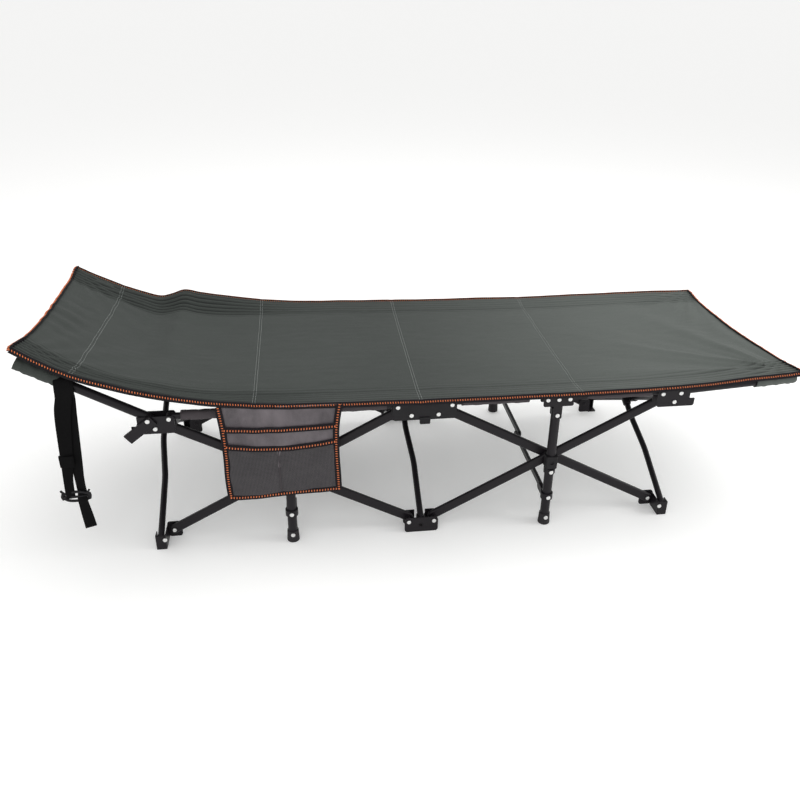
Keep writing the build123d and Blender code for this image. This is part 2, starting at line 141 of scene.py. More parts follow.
# one material and the nodes that feed it
class Paint:
    def __init__(self, name):
        self.material = bpy.data.materials.new(name)
        self.material.use_nodes = True
        self.tree = self.material.node_tree
        self.shader = self.tree.nodes["Principled BSDF"]

    def node(self, kind, settings=None, inputs=None, output=0):
        made = self.tree.nodes.new(kind)
        for key, value in (settings or {}).items():
            if key == "stops":
                while len(made.color_ramp.elements) < len(value):
                    made.color_ramp.elements.new(0.5)
                for element, (place, colour) in zip(made.color_ramp.elements, value):
                    element.position, element.color = place, (*colour, 1)
            else:
                setattr(made, key, value)
        for key, value in (inputs or {}).items():
            if isinstance(value, Wire):
                self.tree.links.new(value.socket, made.inputs[key])
            else:
                made.inputs[key].default_value = value
        return Wire(self, made.outputs[output])

    def place(self):
        return self.node("ShaderNodeTexCoord", output="Object")

    def axes(self):
        split = self.node("ShaderNodeSeparateXYZ", inputs={0: self.place()})
        return [Wire(self, split.socket.node.outputs[i]) for i in range(3)]

    def noise(self, scale, detail=3.0, rough=0.5, stretch=None):
        where = self.place()
        if stretch:
            where = self.node("ShaderNodeVectorMath", {"operation": "MULTIPLY"}, {0: where, 1: stretch})
        return self.node("ShaderNodeTexNoise", inputs={"Vector": where, "Scale": scale, "Detail": detail,
                                                      "Roughness": rough}, output="Fac")

    def mix(self, factor, one, two):
        one, two = [colour if isinstance(colour, Wire) else (*colour, 1) for colour in (one, two)]
        return self.node("ShaderNodeMix", {"data_type": "RGBA", "clamp_factor": False},
                         {0: factor, 6: one, 7: two}, output=2)

    def wave(self, value, period):
        return self.node("ShaderNodeMath", {"operation": "SINE"}, {0: value * (2 * math.pi / period)})

    def set(self, **values):
        for key, value in values.items():
            socket = self.shader.inputs[key.replace("_", " ")]
            if isinstance(value, Wire):
                self.tree.links.new(value.socket, socket)
            else:
                socket.default_value = value

    def bump(self, height, distance, strength=1.0):
        self.set(Normal=self.node("ShaderNodeBump", inputs={"Strength": strength, "Distance": distance,
                                                            "Height": height}, output="Normal"))


def plainFloor(colour):
    paint = Paint("paleFloor")
    paint.set(Base_Color=(*colour, 1), Roughness=0.7, Emission_Color=(1, 1, 1, 1), Emission_Strength=0.16)
    return paint.material


def powderCoat():
    paint = Paint("blackPowderCoat")
    peel = paint.noise(900, 2)
    scuff = paint.noise(38, 5, 0.7)
    worn = (scuff > 0.66) * 0.35
    paint.set(Base_Color=paint.mix(worn + peel * 0.3, (0.008, 0.0066, 0.0083), (0.024, 0.0205, 0.0245)),
              Roughness=0.30 + peel * 0.16 + worn * 0.3, Specular_IOR_Level=0.17, Coat_Roughness=0.3,
              Coat_Weight=0.04)
    paint.bump(peel, 0.00012, 0.5)
    return paint.material


def mouldedNylon():
    paint = Paint("blackMouldedNylon")
    grain = paint.noise(1600, 2)
    flow = paint.noise(30, 2)
    paint.set(Base_Color=paint.mix(flow, (0.0055, 0.005, 0.006), (0.015, 0.014, 0.016)),
              Roughness=0.44 + grain * 0.16, Specular_IOR_Level=0.2)
    paint.bump(grain, 0.0001, 0.5)
    return paint.material


def footRubber():
    paint = Paint("blackFootRubber")
    grain = paint.noise(1300, 3)
    dust = paint.noise(26, 4, 0.7)
    paint.set(Base_Color=paint.mix(dust, (0.010, 0.009, 0.010), (0.030, 0.027, 0.030)),
              Roughness=0.60 + dust * 0.2, Specular_IOR_Level=0.25)
    paint.bump(grain, 0.00015, 0.6)
    return paint.material


def zincSteel():
    paint = Paint("zincRivetSteel")
    scratch = paint.noise(700, 4, 0.7, (1, 1, 6))
    paint.set(Base_Color=paint.mix(scratch, (0.62, 0.62, 0.61), (0.86, 0.86, 0.85)), Metallic=1.0,
              Roughness=0.22 + scratch * 0.22)
    paint.bump(scratch, 0.00004, 0.4)
    return paint.material


def wovenCloth(name, dark, light, threads, rough, depth=0.0006, slub=90, paintedToeLight=0.0):
    paint = Paint(name)
    x, y, z = paint.axes()
    warp = paint.wave(x, threads)
    weft = paint.wave(y + z, threads)
    weave = warp * weft * 0.5 + 0.5
    slubs = paint.noise(slub, 4, 0.6, (0.35, 2.4, 1))
    fade = paint.noise(3.2, 3)
    # painted light: the canvas colour is painted lighter towards the toe end
    toeward = paint.node("ShaderNodeMapRange", {"interpolation_type": "SMOOTHSTEP"},
                         {0: x, 1: -0.15, 2: 0.75, 3: 0.0, 4: paintedToeLight})
    creases = paint.noise(75, 4, 0.62, (0.2, 1.0, 1.0))
    plain = paint.mix(weave * 0.2 + slubs * 0.4 + fade * 0.25 + creases * 0.15 + toeward, dark, light)
    # painted shade: the canvas is painted darker in the troughs of the gathered borders, by the amount that
    # each cover panel carries
    trough = paint.node("ShaderNodeAttribute", {"attribute_name": "trough"}, None, 2)
    paint.set(Base_Color=paint.mix(trough * 0.8, plain, tuple(part * 0.25 for part in dark)),
              Roughness=rough + slubs * 0.12, Specular_IOR_Level=0.14, Sheen_Weight=0.02, Sheen_Roughness=0.5)
    paint.bump(weave * 0.3 + slubs * 0.3 + creases * 1.4, depth, 0.8)
    return paint.material


def netCloth():
    paint = Paint("organiserNet")
    x, _, z = paint.axes()
    pitch = 0.0066
    across, along = paint.wave(x + z, pitch), paint.wave(x - z, pitch)
    hole = (across * along) > 0.10
    tone = paint.noise(15, 3, 0.6, (1, 1, 0.45))
    colour = paint.mix(tone, (0.012, 0.010, 0.012), (0.075, 0.065, 0.072))
    shade = paint.mix(hole, colour, (0.004, 0.0035, 0.004))
    paint.set(Base_Color=shade, Roughness=0.6 + tone * 0.15, Sheen_Weight=0.1)
    paint.bump(1 - hole, 0.0004, 0.8)
    return paint.material


def coatedCloth():
    paint = Paint("organiserCoatedCloth")
    x, _, z = paint.axes()
    weave = paint.wave(x, 0.0011) * paint.wave(z, 0.0011) * 0.5 + 0.5
    cloud = paint.noise(16, 4, 0.6, (1, 1, 0.6))
    creases = paint.noise(34, 4, 0.65, (1, 1, 0.6))
    # painted light and shade: the cloud and crease noise paint the crumples' highlights and shaded streaks
    # into the colour
    paintedCrumpleShading = cloud * 2.0 + creases * 0.6 - 0.9
    paint.set(Base_Color=paint.mix(paintedCrumpleShading * 0.85 + weave * 0.15, (0.052, 0.043, 0.049), (0.170, 0.146, 0.159)),
              Roughness=0.30 + cloud * 0.18, Sheen_Weight=0.08)
    paint.bump(weave * 0.2 + creases, 0.0014, 0.7)
    return paint.material


def tapeCloth(name, dark, light, rib):
    paint = Paint(name)
    x, y, z = paint.axes()
    ribs = paint.wave(x + y * 0.7, rib) * 0.5 + 0.5
    rows = paint.wave(z - y * 0.3, rib * 1.2) * 0.5 + 0.5
    tone = paint.noise(120, 3)
    paint.set(Base_Color=paint.mix(ribs * 0.5 + tone * 0.5, dark, light), Roughness=0.72 + tone * 0.12,
              Specular_IOR_Level=0.06, Sheen_Weight=0.01)
    paint.bump(ribs * rows, 0.0003, 0.8)
    return paint.material


def thread(name, dark, light):
    paint = Paint(name)
    x, y, z = paint.axes()
    twist = paint.wave(x + y + z, 0.0009) * 0.5 + 0.5
    tone = paint.noise(220, 2)
    paint.set(Base_Color=paint.mix(twist * 0.6 + tone * 0.4, dark, light), Roughness=0.55 + tone * 0.15,
              Sheen_Weight=0.15)
    paint.bump(twist, 0.00012, 0.6)
    return paint.material


def makeMaterials():
    bedDark, bedLight = (0.024, 0.028, 0.0255), (0.066, 0.074, 0.068)
    return {
        "powder": powderCoat(), "nylon": mouldedNylon(), "rubber": footRubber(), "zinc": zincSteel(),
        "bed": wovenCloth("bedCanvas", bedDark, bedLight, 0.0012, 0.58, paintedToeLight=1.1),
        "sleeve": wovenCloth("sleeveLining", (0.040, 0.034, 0.037), (0.070, 0.060, 0.065), 0.0012, 0.5),
        "coated": coatedCloth(), "net": netCloth(),
        "binding": tapeCloth("blackBinding", (0.007, 0.006, 0.007), (0.022, 0.020, 0.023), 0.0014),
        "webbing": tapeCloth("blackWebbing", (0.0015, 0.0015, 0.0015), (0.006, 0.0056, 0.0062), 0.0018),
        "orange": thread("orangeThread", (0.50, 0.10, 0.018), (0.86, 0.22, 0.055)),
        "grey": thread("greyThread", (0.15, 0.165, 0.155), (0.30, 0.325, 0.31)),
        "hemThread": thread("hemThread", (0.030, 0.034, 0.032), (0.080, 0.088, 0.082)),
    }


def newTree(name, inputs):
    tree = bpy.data.node_groups.new(name, "GeometryNodeTree")
    tree.interface.new_socket("Geometry", in_out="OUTPUT", socket_type="NodeSocketGeometry")
    ids = {}
    for label, kind, default in [("Geometry", "NodeSocketGeometry", None)] + inputs:
        socket = tree.interface.new_socket(label, in_out="INPUT", socket_type=kind)
        if default is not None:
            socket.default_value = default
        ids[label] = socket.identifier
    return tree, ids


class Grow:
    def __init__(self, tree):
        self.tree = tree
        self.start = tree.nodes.new("NodeGroupInput")
        self.end = tree.nodes.new("NodeGroupOutput")

    def node(self, kind, settings=None, inputs=None):
        made = self.tree.nodes.new(kind)
        for key, value in (settings or {}).items():
            setattr(made, key, value)
        for key, value in (inputs or {}).items():
            if isinstance(value, bpy.types.NodeSocket):
                self.tree.links.new(value, made.inputs[key])
            else:
                made.inputs[key].default_value = value
        return made

    # copies one shape to every point, as real faces in one material
    def finish(self, points, shape, aim, material, extra=None):
        laid = self.node("GeometryNodeInstanceOnPoints", inputs={
            "Points": points.outputs[0], "Instance": shape, "Rotation": aim.outputs[0], **(extra or {})})
        real = self.node("GeometryNodeRealizeInstances", inputs={0: laid.outputs[0]})
        done = self.node("GeometryNodeSetMaterial",
                         inputs={"Geometry": real.outputs[0], "Material": material})
        self.tree.links.new(done.outputs[0], self.end.inputs[0])

    def pointsAlong(self, geometry, pitch):
        curve = self.node("GeometryNodeMeshToCurve", inputs={0: geometry})
        return self.node("GeometryNodeCurveToPoints", {"mode": "LENGTH"},
                         {"Curve": curve.outputs[0], "Length": pitch})


# thread bars that stand across a path, as an overlocked edge shows
def barStitchTree():
    tree, ids = newTree("barStitch", [
        ("Pitch", "NodeSocketFloat", 0.0056), ("Long", "NodeSocketFloat", 0.0055),
        ("Thick", "NodeSocketFloat", 0.002), ("Lean", "NodeSocketFloat", 0.25),
        ("Thread", "NodeSocketMaterial", None)])
    grow = Grow(tree)
    source = grow.start.outputs
    points = grow.pointsAlong(source["Geometry"], source["Pitch"])
    side = grow.node("GeometryNodeInputNamedAttribute", {"data_type": "FLOAT_VECTOR"}, {"Name": "side"})
    lean = grow.node("ShaderNodeVectorMath", {"operation": "SCALE"}, {0: points.outputs["Tangent"],
                                                                     "Scale": source["Lean"]})
    way = grow.node("ShaderNodeVectorMath", {"operation": "ADD"}, {0: side.outputs[0], 1: lean.outputs[0]})
    aim = grow.node("FunctionNodeAlignRotationToVector", {"axis": "Z"}, {"Vector": way.outputs[0]})
    half = grow.node("ShaderNodeMath", {"operation": "MULTIPLY"}, {0: source["Thick"], 1: 0.5})
    bar = grow.node("GeometryNodeMeshCylinder", inputs={"Vertices": 6, "Radius": half.outputs[0],
                                                        "Depth": source["Long"]})
    grow.finish(points, bar.outputs[0], aim, source["Thread"])
    return tree, ids


# short stitches that follow a path, with gaps between them
def runningTree():
    tree, ids = newTree("runningStitch", [
        ("Pitch", "NodeSocketFloat", 0.0055), ("Share", "NodeSocketFloat", 0.72),
        ("Radius", "NodeSocketFloat", 0.0005), ("Thread", "NodeSocketMaterial", None)])
    grow = Grow(tree)
    source = grow.start.outputs
    points = grow.pointsAlong(source["Geometry"], source["Pitch"])
    long = grow.node("ShaderNodeMath", {"operation": "MULTIPLY"}, {0: source["Pitch"], 1: source["Share"]})
    stitch = grow.node("GeometryNodeMeshCylinder", inputs={"Vertices": 6, "Radius": source["Radius"],
                                                           "Depth": long.outputs[0]})
    aim = grow.node("FunctionNodeAlignRotationToVector", {"axis": "Z"}, {"Vector": points.outputs["Tangent"]})
    grow.finish(points, stitch.outputs[0], aim, source["Thread"])
    return tree, ids


# a rivet head on each point, turned to the point's axis
def rivetTree():
    tree, ids = newTree("rivetHeads", [("Size", "NodeSocketFloat", 1.0), ("Head", "NodeSocketObject", None),
                                       ("Steel", "NodeSocketMaterial", None)])
    grow = Grow(tree)
    source = grow.start.outputs
    axis = grow.node("GeometryNodeInputNamedAttribute", {"data_type": "FLOAT_VECTOR"}, {"Name": "axis"})
    head = grow.node("GeometryNodeObjectInfo", inputs={"Object": source["Head"]})
    aim = grow.node("FunctionNodeAlignRotationToVector", {"axis": "Z"}, {"Vector": axis.outputs[0]})
    points = grow.node("GeometryNodeMeshToPoints", inputs={0: source["Geometry"]})
    grow.finish(points, head.outputs["Geometry"], aim, source["Steel"], {"Scale": source["Size"]})
    return tree, ids


# runs a node tree over a mesh and keeps the result as a plain mesh
def grown(name, mesh, treeAndIds, values):
    tree, ids = treeAndIds
    source = bpy.data.objects.new(name + "Source", mesh)
    bpy.context.scene.collection.objects.link(source)
    modifier = source.modifiers.new("grow", "NODES")
    modifier.node_group = tree
    for label, value in values.items():
        modifier[ids[label]] = value
    bpy.context.view_layer.update()
    evaluated = source.evaluated_get(bpy.context.evaluated_depsgraph_get())
    result = bpy.data.meshes.new_from_object(evaluated)
    source.modifiers.remove(modifier)
    bpy.data.objects.remove(source)
    return added(name, result)


def added(name, mesh, material=None, smooth=True):
    piece = bpy.data.objects.new(name, mesh)
    bpy.context.scene.collection.objects.link(piece)
    if material:
        piece.data.materials.clear()
        piece.data.materials.append(material)
    if smooth:
        mesh.polygons.foreach_set("use_smooth", [True] * len(mesh.polygons))
    return piece


def meshOf(name, points, faces=(), edges=()):
    mesh = bpy.data.meshes.new(name)
    mesh.from_pydata([tuple(p) for p in points], list(edges), list(faces))
    mesh.update()
    return mesh


# one direction for every point of a line
def same(way, line):
    return np.tile(way, (len(line), 1))


# edges for the stitch trees to follow, with the way that each stitch stands in "side"
def pathMesh(name, runs):
    points, sides, edges = [], [], []
    for line, side in runs:
        first = len(points)
        points += [tuple(p) for p in line]
        sides += [tuple(s) for s in side]
        edges += [(first + i, first + i + 1) for i in range(len(line) - 1)]
    mesh = meshOf(name, points, edges=edges)
    attribute = mesh.attributes.new("side", "FLOAT_VECTOR", "POINT")
    attribute.data.foreach_set("vector", np.array(sides, np.float32).ravel())
    return mesh


# a smooth curve through knots of (place, value)
def smoothLine(knots, x):
    kx, kz = (np.array(v, float) for v in zip(*knots))
    slope = np.gradient(kz, kx)
    i = np.clip(np.searchsorted(kx, x) - 1, 0, len(kx) - 2)
    h = kx[i + 1] - kx[i]
    t = np.clip((x - kx[i]) / h, 0, 1)
    return ((2 * t**3 - 3 * t**2 + 1) * kz[i] + (t**3 - 2 * t**2 + t) * h * slope[i]
            + (3 * t**2 - 2 * t**3) * kz[i + 1] + (t**3 - t**2) * h * slope[i + 1])


# the bed cover: heights of its long edges, size, borders and seams
cover = {
    "nearEdge": [(-0.942, 0.5775), (-0.873, 0.535), (-0.810, 0.5015), (-0.7355, 0.4735), (-0.652, 0.448),
                 (-0.577, 0.430), (-0.507, 0.418), (-0.387, 0.4065), (-0.225, 0.4005), (-0.058, 0.398),
                 (0.160, 0.3965), (0.410, 0.3970), (0.640, 0.4010), (0.770, 0.4100), (0.900, 0.4205),
                 (0.942, 0.4240)],
    "farEdge": [(-0.942, 0.538), (-0.885, 0.5065), (-0.8155, 0.4725), (-0.764, 0.4525), (-0.710, 0.4385),
                (-0.680, 0.4455), (-0.650, 0.4555), (-0.605, 0.4455), (-0.5326, 0.4325), (-0.400, 0.4145),
                (-0.174, 0.4045), (0.122, 0.3985), (0.378, 0.3960), (0.641, 0.3975), (0.942, 0.3990)],
    "halfWidth": 0.3165, "rollRadius": 0.009, "rollLong": 0.009, "thick": 0.0011,
    "cell": 0.006, "fineCell": 0.0014, "borderFrom": 0.70,
    "hemLine": 0.254, "hemDip": 0.0012, "seamDip": 0.0008, "gather": 0.0135, "gatherDepth": 0.0026,
    "sag": 0.008, "headSag": 0.013, "headSagAt": 0.33, "headSagSpread": 0.17,
    "slack": 0.0016, "fineSlack": 0.0008, "puckerDepth": 0.0032, "puckerPitch": 0.055,
    "fanDepth": 0.0014, "headFanReach": 0.34, "toeFanReach": 0.42,
    "toePulls": ((0.16, 0.005, 0.05), (0.38, -0.005, 0.07), (0.60, 0.009, 0.06), (0.84, -0.006, 0.08),
                 (1.12, 0.006, 0.08)),  # each: direction in radians, depth, spread
    "headPull": (0.09, 0.008, 0.012), "toePull": (0.12, 0.016, 0.004),  # each: reach, middle, one side
    "seams": (headEnd + 0.122, headEnd + 0.517, headEnd + 0.912, headEnd + 1.312), "seamGap": 0.003,
    "tapeHalf": 0.0072, "tapeThick": 0.0021, "tapeLine": 0.992,
}


def edgeHeight(x, y):
    near, far = smoothLine(cover["nearEdge"], x), smoothLine(cover["farEdge"], x)
    share = np.clip(0.5 + y / (2 * cover["halfWidth"]), 0, 1)
    return near + (far - near) * share


def noiseField(x, y, scaleX, scaleY, seed):
    flat = [noise.noise(Vector((a * scaleX, b * scaleY, seed))) for a, b in zip(x.ravel(), y.ravel())]
    return np.array(flat).reshape(x.shape)


# folds that run along the borders, strongest at the head end
def gathers(x, y):
    share = np.minimum(np.abs(y) / cover["halfWidth"], 1)
    band = np.clip((share - cover["borderFrom"]) / 0.08, 0, 1) * np.clip((1.003 - share) / 0.03, 0, 1)
    strength = 0.22 + 0.85 * np.exp(-((x - headEnd) / 0.55) ** 4) + 0.35 * np.exp(-((toeEnd - x) / 0.2) ** 2)
    drift = noiseField(x, y, 2.4, 3.0, 3.7) * 2.6
    return band * strength * np.sin(2 * np.pi * np.abs(y) / cover["gather"] + drift)


# 0 at the near side, 1 at the far side
def farShare(y):
    return np.clip(0.5 + y / 0.3, 0, 1)


# how far the middle hangs below the edges, deepest where the head end starts to rise
def sagDepth(x, y):
    fromHead, fromToe = x - headEnd, toeEnd - x
    hollow = np.exp(-((fromHead - cover["headSagAt"]) / cover["headSagSpread"]) ** 2)
    hollow *= 1 + 0.9 * farShare(y)
    ends = 0.004 * np.exp(-(fromHead / 0.2) ** 2) - 0.003 * np.exp(-fromToe / 0.25)
    return cover["sag"] + cover["headSag"] * hollow + ends


# creases that fan out from the four corners
def cornerFans(x, y):
    depth = np.zeros_like(x)
    for endX, reach in ((headEnd, cover["headFanReach"]), (toeEnd, cover["toeFanReach"])):
        for sideY in (-cover["halfWidth"], cover["halfWidth"]):
            dx, dy = x - endX, y - sideY
            away = np.hypot(dx, dy) + 1e-4
            crease = np.sin(np.arctan2(np.abs(dy), np.abs(dx)) * 22 + away * 5)
            depth += crease * np.exp(-((away - 0.13) / reach) ** 2) * np.clip(away / 0.1, 0, 1)
    return cover["fanDepth"] * depth


# long pulls from the near toe corner
def toePulls(x, y):
    dx, dy = toeEnd - 0.03 - x, y + 0.27
    fan, away = np.arctan2(dy, dx + 1e-4), np.hypot(dx, dy)
    pulls = sum(deep * np.exp(-((fan - at) / wide) ** 2) for at, deep, wide in cover["toePulls"])
    return pulls * np.clip(away / 0.08, 0, 1) * np.exp(-(away / 0.42) ** 2)


# puckers at the middle of the head end
def headPuckers(x, y):
    fromHead = x - headEnd
    place = np.exp(-((fromHead - 0.045) / 0.05) ** 2) * np.exp(-((y + 0.02) / 0.11) ** 2)
    return cover["puckerDepth"] * place * np.sin(2 * np.pi * y / cover["puckerPitch"] + fromHead * 18)


# the cover's top face: x along the bed, v from -1 at the near edge's roll to 1 at the far one's
def coverSurface(x, v):
    half, roll = cover["halfWidth"], cover["rollRadius"]
    s = np.abs(v) * (half + cover["rollLong"])
    over = np.minimum(np.maximum(s - half, 0) / roll, 1.5)
    y = np.sign(v) * (np.minimum(s, half) + roll * np.sin(over))
    share = np.minimum(np.abs(y) / half, 1)
    rise = np.clip((share - 0.74) / 0.26, 0, 1)
    border = rise * rise * (3 - 2 * rise)  # the borders rise from the hem lines to the edges
    z = edgeHeight(x, y) - roll * (1 - np.cos(over))
    z -= sagDepth(x, y) * (0.75 * (1 - border) + 0.25 * (1 - share ** 2))
    z += cover["gatherDepth"] * gathers(x, y)
    z += cover["slack"] * noiseField(x, y, 7, 11, 1.3) + cover["fineSlack"] * noiseField(x, y, 18, 60, 8.1)
    z += cornerFans(x, y) + toePulls(x, y) * (1 - border) + headPuckers(x, y)
    z -= cover["seamDip"] * sum(np.exp(-((x - at) / 0.006) ** 2) for at in cover["seams"])
    z -= cover["hemDip"] * np.exp(-((np.abs(y) - cover["hemLine"]) / 0.0025) ** 2)
    # the ends pull in between their corners, and the near head corner sits further in
    middle, far = 1 - share ** 2, farShare(y)
    reach, deep, corner = cover["headPull"]
    headIn = (deep * middle + corner * (1 - far)) * np.maximum(1 - (x - headEnd) / reach, 0)
    reach, deep, corner = cover["toePull"]
    toeIn = (deep * middle + corner * far) * np.maximum(1 - (toeEnd - x) / reach, 0)
    return np.stack([x + headIn - toeIn, y, z], axis=-1)


# rows across the cover, closer together in the gathered borders
def acrossCuts():
    half, full = cover["halfWidth"], cover["halfWidth"] + cover["rollLong"]
    inner = cover["borderFrom"] * half
    middle = np.linspace(0, inner, int(inner / cover["cell"]) + 1)
    outer = np.linspace(inner, full, int((full - inner) / cover["fineCell"]) + 1)[1:]
    side = np.concatenate([middle, outer]) / full
    return np.concatenate([-side[:0:-1], side])


# one closed panel, with the smooth sheet's normals so that its joins don't show
def clothPanel(name, xs, vs, material):
    stepX, stepV = xs[1] - xs[0], vs[1] - vs[0]
    wideXs = np.concatenate([[xs[0] - stepX], xs, [xs[-1] + stepX]])
    wideVs = np.concatenate([[vs[0] - stepV], vs, [vs[-1] + stepV]])
    full = coverSurface(*np.meshgrid(wideXs, wideVs, indexing="ij"))
    alongX, alongV = full[2:, 1:-1] - full[:-2, 1:-1], full[1:-1, 2:] - full[1:-1, :-2]
    normals = np.cross(alongX, alongV)
    normals /= np.linalg.norm(normals, axis=2)[..., None]
    top = full[1:-1, 1:-1]
    rows, columns = len(xs), len(vs)
    count = rows * columns
    points = np.concatenate([top.reshape(-1, 3), (top - normals * cover["thick"]).reshape(-1, 3)])
    upper = gridFaces(rows, columns)
    lower = [tuple(count + k for k in reversed(face)) for face in upper]
    border = list(range(columns)) + [i * columns + columns - 1 for i in range(1, rows)]
    border += [(rows - 1) * columns + j for j in range(columns - 2, -1, -1)]
    border += [i * columns for i in range(rows - 2, 0, -1)]
    rim = [(a, b, count + b, count + a) for a, b in zip(border, border[1:] + border[:1])]
    mesh = meshOf(name, points, upper + lower + rim)
    # painted shade: how deep each point lies in a gather's trough, kept on the panel so that the canvas
    # material paints it darker there
    gridX, gridV = np.meshgrid(xs, vs, indexing="ij")
    gridY = gridV * (cover["halfWidth"] + cover["rollLong"])
    trough = np.clip(-gathers(gridX, gridY) * 1.3, 0, 1).ravel()
    shade = mesh.attributes.new("trough", "FLOAT", "POINT")
    shade.data.foreach_set("value", np.concatenate([trough, trough]))
    panel = added(name, mesh, material)
    flat = normals.reshape(-1, 3)
    split = [tuple(flat[k]) for face in upper for k in face]
    split += [tuple(-flat[k - count]) for face in lower for k in face]
    for face in mesh.polygons[len(upper) + len(lower):]:
        split += [tuple(face.normal)] * 4
    mesh.normals_split_custom_set(split)
    return panel


# where the cover is cut, so that each panel rides on the piece below it
def panels():
    legBoxes = {end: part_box("front_" + end + "_leg") for end in ("head", "toe")}
    legX = {end: (low.x + high.x) / 2 for end, (low, high) in legBoxes.items()}
    tHalf = 0.028
    stops = [headEnd, railPivotX["front_head_end_rail"], railPivotX["front_head_outer_rail"],
             legX["head"] - tHalf, legX["head"] + tHalf, railPivotX["front_head_inner_rail"],
             railPivotX["front_toe_inner_rail"], legX["toe"] - tHalf, legX["toe"] + tHalf,
             railPivotX["front_toe_outer_rail"], railPivotX["front_toe_end_rail"], toeEnd]
    names = ["headEnd", "headHub", "headOuter", "headLeg", "headInner", "middle",
             "toeInner", "toeLeg", "toeOuter", "toeHub", "toeEnd"]
    bodies = ["front_head_end_rail", "front_head_hub", "front_head_outer_rail", "front_head_leg",
              "front_head_inner_rail", "front_mid_hub", "front_toe_inner_rail", "front_toe_leg",
              "front_toe_outer_rail", "front_toe_hub", "front_toe_end_rail"]
    return [(n, b, stops[i], stops[i + 1]) for i, (n, b) in enumerate(zip(names, bodies))]


def gridFaces(rows, columns):
    return [(i * columns + j, (i + 1) * columns + j, (i + 1) * columns + j + 1, i * columns + j + 1)
            for i in range(rows - 1) for j in range(columns - 1)]


def rideAndFold(piece, body):
    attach(piece, body)
    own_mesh(piece)


def tubeFaces(rings, sides):
    faces = [(i * sides + k, i * sides + (k + 1) % sides,
              (i + 1) * sides + (k + 1) % sides, (i + 1) * sides + k)
             for i in range(rings - 1) for k in range(sides)]
    return faces + [tuple(reversed(range(sides))), tuple(range((rings - 1) * sides, rings * sides))]


def squarish(angle, acrossPower, upPower):
    c, t = math.cos(angle), math.sin(angle)
    return math.copysign(abs(c) ** acrossPower, c), math.copysign(abs(t) ** upPower, t)


# a flattened tube that follows a line, for tapes and bars
def tubeAlong(name, line, ups, halfWide, halfThick, material, sides=10):
    line, ups = np.array(line, float), np.array(ups, float)
    along = np.gradient(line, axis=0)
    along /= np.linalg.norm(along, axis=1)[:, None]
    ups = ups - (ups * along).sum(1)[:, None] * along
    ups /= np.linalg.norm(ups, axis=1)[:, None]
    across = np.cross(ups, along)
    points = []
    for p, u, w in zip(line, ups, across):
        for k in range(sides):
            out, rise = squarish(2 * math.pi * k / sides, 0.6, 0.6)
            points.append(p + w * halfWide * out + u * halfThick * rise)
    return added(name, meshOf(name, points, tubeFaces(len(line), sides)), material)


def joined(name, parts):
    bpy.ops.object.select_all(action="DESELECT")
    for part in parts:
        part.select_set(True)
    bpy.context.view_layer.objects.active = parts[0]
    if len(parts) > 1:
        bpy.ops.object.join()
    parts[0].name = name
    parts[0].data.name = name
    return parts[0]


# the tapes along a panel's free edges, and the paths of the stitches on them
def edgeTapes(name, xs, material):
    edgeV, wide, thick = cover["tapeLine"], cover["tapeHalf"], cover["tapeThick"]
    tapes, runs = [], []
    for sign in (-1, 1):
        line = coverSurface(xs, np.full_like(xs, sign * edgeV))
        out = same((0.0, sign * 0.80, 0.60), xs)
        tapes.append(tubeAlong("b", line, out, wide, thick, material))
        runs.append((line + out * 0.0020, same((0, sign * 0.60, -0.80), xs)))
        if sign > 0:  # the far edge's tape also stands up on its inner side
            inner = same((0, -0.87, 0.5), xs)
            tapes.append(tubeAlong("b", line + (0, -0.0030, 0.0005), inner, 0.0056, 0.0017, material))
            for lift in (-0.0006, 0.0030):
                row = line + (0, -0.0048 + 0.5 * lift, 0.0020 + 0.87 * lift)
                runs.append((row, same((0, 0.5, 0.87), xs)))
    if name in ("headEnd", "toeEnd"):
        endX, inward = (xs[0], 1) if name == "headEnd" else (xs[-1], -1)
        endVs = np.linspace(-edgeV, edgeV, 200)
        line = coverSurface(np.full_like(endVs, endX), endVs)
        up = same((-inward * 0.5, 0.0, 0.87), endVs)
        tapes.append(tubeAlong("b", line, up, wide, 0.0020, material))
        for shift in (0.0008, 0.0044):
            row = line + up * 0.0022 - (0.87 * inward * shift, 0, 0.5 * shift)
            runs.append((row, same((0.87 * inward, 0, 0.5), endVs)))
    return joined("binding_" + name, tapes), runs


def makeCover(mats, barStitch, running):
    vs = acrossCuts()
    full = cover["halfWidth"] + cover["rollLong"]
    onTop = (0, 0, 0.0004)  # thread lies this far above the cloth
    edge = {"Pitch": 0.0060, "Long": 0.0040, "Thick": 0.0022, "Lean": 0.15, "Thread": mats["orange"]}
    hem = {"Pitch": 0.0050, "Share": 0.7, "Radius": 0.00042, "Thread": mats["hemThread"]}
    cross = {"Pitch": 0.0048, "Share": 0.85, "Radius": 0.00045, "Thread": mats["grey"]}
    for name, body, x0, x1 in panels():
        xs = np.linspace(x0, x1, max(5, int(round((x1 - x0) / cover["cell"])) + 1))
        panel = clothPanel("cover_" + name, xs, vs, mats["bed"])
        binding, runs = edgeTapes(name, xs, mats["binding"])
        extras = [binding, grown("edgeStitch_" + name, pathMesh("p", runs), barStitch, edge)]
        hemV = cover["hemLine"] / full
        lines = [(coverSurface(xs, np.full_like(xs, v)) + onTop, same((0, 1, 0), xs)) for v in (-hemV, hemV)]
        extras.append(grown("hemStitch_" + name, pathMesh("p", lines), running, hem))
        seams = [at + shift for at in cover["seams"] if x0 < at < x1
                 for shift in (-cover["seamGap"], cover["seamGap"])]
        if seams:
            lines = [(coverSurface(np.full_like(vs, at), vs * 0.985) + onTop, same((1, 0, 0), vs))
                     for at in seams]
            extras.append(grown("crossSeam_" + name, pathMesh("p", lines), running, cross))
        rideAndFold(panel, body)
        rideAndFold(binding, body)
        for extra in extras[1:]:
            rideAndFold(extra, body)
        if name == "middle":
            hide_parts("bed_cover")
    print("bed cover made")


